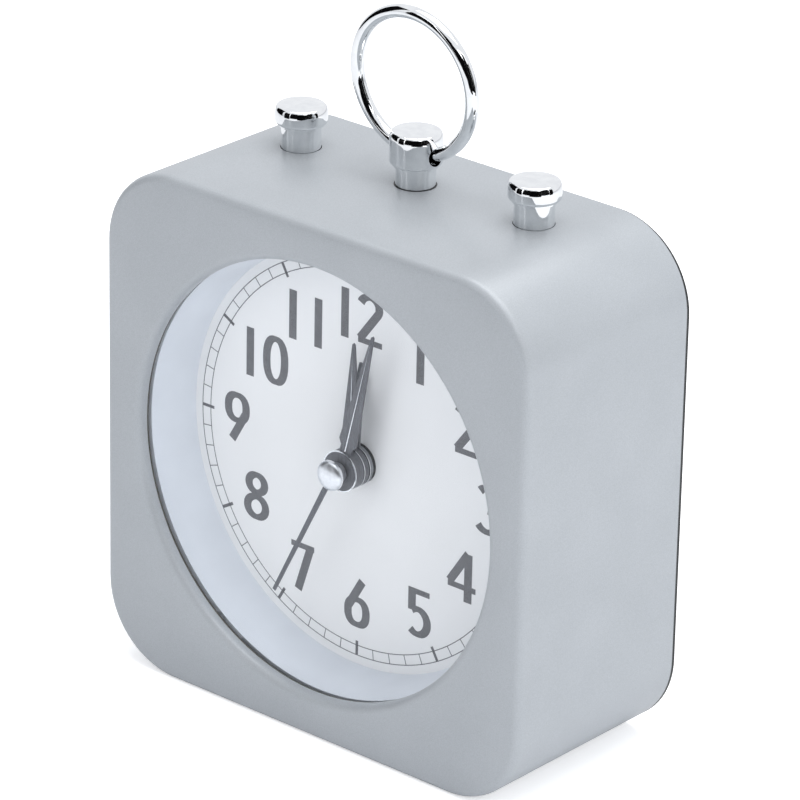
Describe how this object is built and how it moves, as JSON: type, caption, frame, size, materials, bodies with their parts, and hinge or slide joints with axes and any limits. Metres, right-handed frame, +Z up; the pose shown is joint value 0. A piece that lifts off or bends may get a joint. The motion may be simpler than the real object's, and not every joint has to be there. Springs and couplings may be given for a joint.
{
  "type": "pendulette clock",
  "caption": "Small square desk alarm clock with a deep round dial, push-button studs and a carry ring on top.",
  "frame": {"origin": "middle of the footprint, on the surface that the clock stands on", "axes": "+X to the viewer's right, +Z up, the dial faces -Y"},
  "size_m": [0.08, 0.0358, 0.1073],
  "materials": {
    "case_lacquer": "satin metallic grey lacquer over moulded ABS",
    "dark_abs": "fine spark-eroded texture",
    "white_abs": "satin",
    "acrylic": "clear polished cast acrylic",
    "gasket_rubber": "moulded",
    "silicone": "moulded",
    "dial_card": "matt white lacquer, printed",
    "black_hands": "dark grey lacquer with diamond-cut edges",
    "alarm_hand_metal": "grey lacquer",
    "chrome": "bright chrome plate",
    "acetal": "moulded gear plastic",
    "steel": "bright zinc plate",
    "nickel_steel": "nickel plated spring steel",
    "brass": "stamped",
    "copper_wound": "enamelled copper wire",
    "board": "solder-masked glass-fibre board",
    "battery_sleeve": "plain sleeved steel can"
  },
  "bodies": {
    "case": {"case_shell": "case_lacquer", "back_cover": "dark_abs", "cover_screws": "steel", "lens_gasket": "gasket_rubber", "lens": "acrylic", "dial_ring": "white_abs", "dial": "dial_card", "movement_housing": "dark_abs", "movement_plate": "dark_abs", "circuit_board": "board", "switch_body": "dark_abs", "stator": "steel", "coil": "copper_wound", "buzzer": "brass", "battery": "battery_sleeve", "plus_contact": "nickel_steel", "minus_contact": "nickel_steel", "left_key_dome": "silicone", "right_key_dome": "silicone", "key_board": "board", "centre_post": "chrome", "post_nut": "steel"},
    "seconds": {"second_wheel": "acetal", "second_hand": "black_hands"},
    "minutes": {"centre_wheel": "acetal", "minute_hand": "black_hands"},
    "hours": {"hour_wheel": "acetal", "hour_hand": "black_hands"},
    "alarm": {"alarm_wheel": "acetal", "alarm_hand": "alarm_hand_metal"},
    "third": {"third_wheel": "acetal"},
    "motion": {"motion_wheel": "acetal"},
    "step": {"step_wheel": "acetal"},
    "rotor": {"rotor": "acetal"},
    "time_set": {"time_knob": "dark_abs"},
    "alarm_set": {"alarm_knob": "dark_abs"},
    "switch": {"alarm_switch": "dark_abs"},
    "door": {"battery_door": "dark_abs"},
    "left_button": {"left_button": "chrome"},
    "right_button": {"right_button": "chrome"},
    "ring": {"carry_ring": "chrome"}
  },
  "joints": [
    {"name": "second_turn", "type": "hinge", "parent": "case", "child": "seconds", "pos_m": [0, 0.00215, 0.04], "axis": [0, 1, 0], "continuous": true},
    {"name": "third_turn", "type": "hinge", "parent": "case", "child": "third", "pos_m": [-0.00156, 0.00215, 0.04886], "axis": [0, 1, 0], "continuous": true},
    {"name": "minute_turn", "type": "hinge", "parent": "case", "child": "minutes", "pos_m": [0, 0.00215, 0.04], "axis": [0, 1, 0], "continuous": true},
    {"name": "motion_turn", "type": "hinge", "parent": "case", "child": "motion", "pos_m": [-0.00979, 0.00215, 0.04456], "axis": [0, 1, 0], "continuous": true},
    {"name": "hour_turn", "type": "hinge", "parent": "case", "child": "hours", "pos_m": [0, 0.00215, 0.04], "axis": [0, 1, 0], "continuous": true},
    {"name": "time_knob_turn", "type": "hinge", "parent": "case", "child": "time_set", "pos_m": [-0.02031, 0.00215, 0.03849], "axis": [0, 1, 0], "continuous": true},
    {"name": "step_turn", "type": "hinge", "parent": "case", "child": "step", "pos_m": [0.00717, 0.00215, 0.04502], "axis": [0, 1, 0], "continuous": true},
    {"name": "rotor_turn", "type": "hinge", "parent": "case", "child": "rotor", "pos_m": [0.00922, 0.00215, 0.05066], "axis": [0, 1, 0], "continuous": true},
    {"name": "alarm_hand_turn", "type": "hinge", "parent": "case", "child": "alarm", "pos_m": [0, 0.00215, 0.04], "axis": [0, 1, 0], "continuous": true},
    {"name": "alarm_knob_turn", "type": "hinge", "parent": "case", "child": "alarm_set", "pos_m": [0.01523, 0.00215, 0.03851], "axis": [0, 1, 0], "continuous": true},
    {"name": "alarm_switch_slide", "type": "slide", "parent": "case", "child": "switch", "axis": [1, 0, 0], "range_m": [0, 0.003]},
    {"name": "battery_door_open", "type": "hinge", "parent": "case", "child": "door", "pos_m": [0, 0.01695, 0.0121], "axis": [-1, 0, 0], "range_deg": [0, 95]},
    {"name": "left_button_press", "type": "slide", "parent": "case", "child": "left_button", "axis": [0, 0, -1], "range_m": [0, 0.0015], "stiffness_N_per_m": 600, "deforming": ["left_key_dome"]},
    {"name": "right_button_press", "type": "slide", "parent": "case", "child": "right_button", "axis": [0, 0, -1], "range_m": [0, 0.0015], "stiffness_N_per_m": 600, "deforming": ["right_key_dome"]},
    {"name": "ring_swing", "type": "hinge", "parent": "case", "child": "ring", "pos_m": [0, 0.0045, 0.08515], "axis": [1, 0, 0], "range_deg": [-104, 96]}
  ],
  "couplings": [
    {"joint": "third_turn", "follows": "second_turn", "ratio": -0.13333},
    {"joint": "minute_turn", "follows": "second_turn", "ratio": 0.016667},
    {"joint": "motion_turn", "follows": "second_turn", "ratio": -0.0055556},
    {"joint": "hour_turn", "follows": "second_turn", "ratio": 0.0013889},
    {"joint": "time_knob_turn", "follows": "second_turn", "ratio": 0.011111},
    {"joint": "step_turn", "follows": "second_turn", "ratio": -6},
    {"joint": "rotor_turn", "follows": "second_turn", "ratio": 30},
    {"joint": "alarm_knob_turn", "follows": "alarm_hand_turn", "ratio": -1.4286}
  ]
}
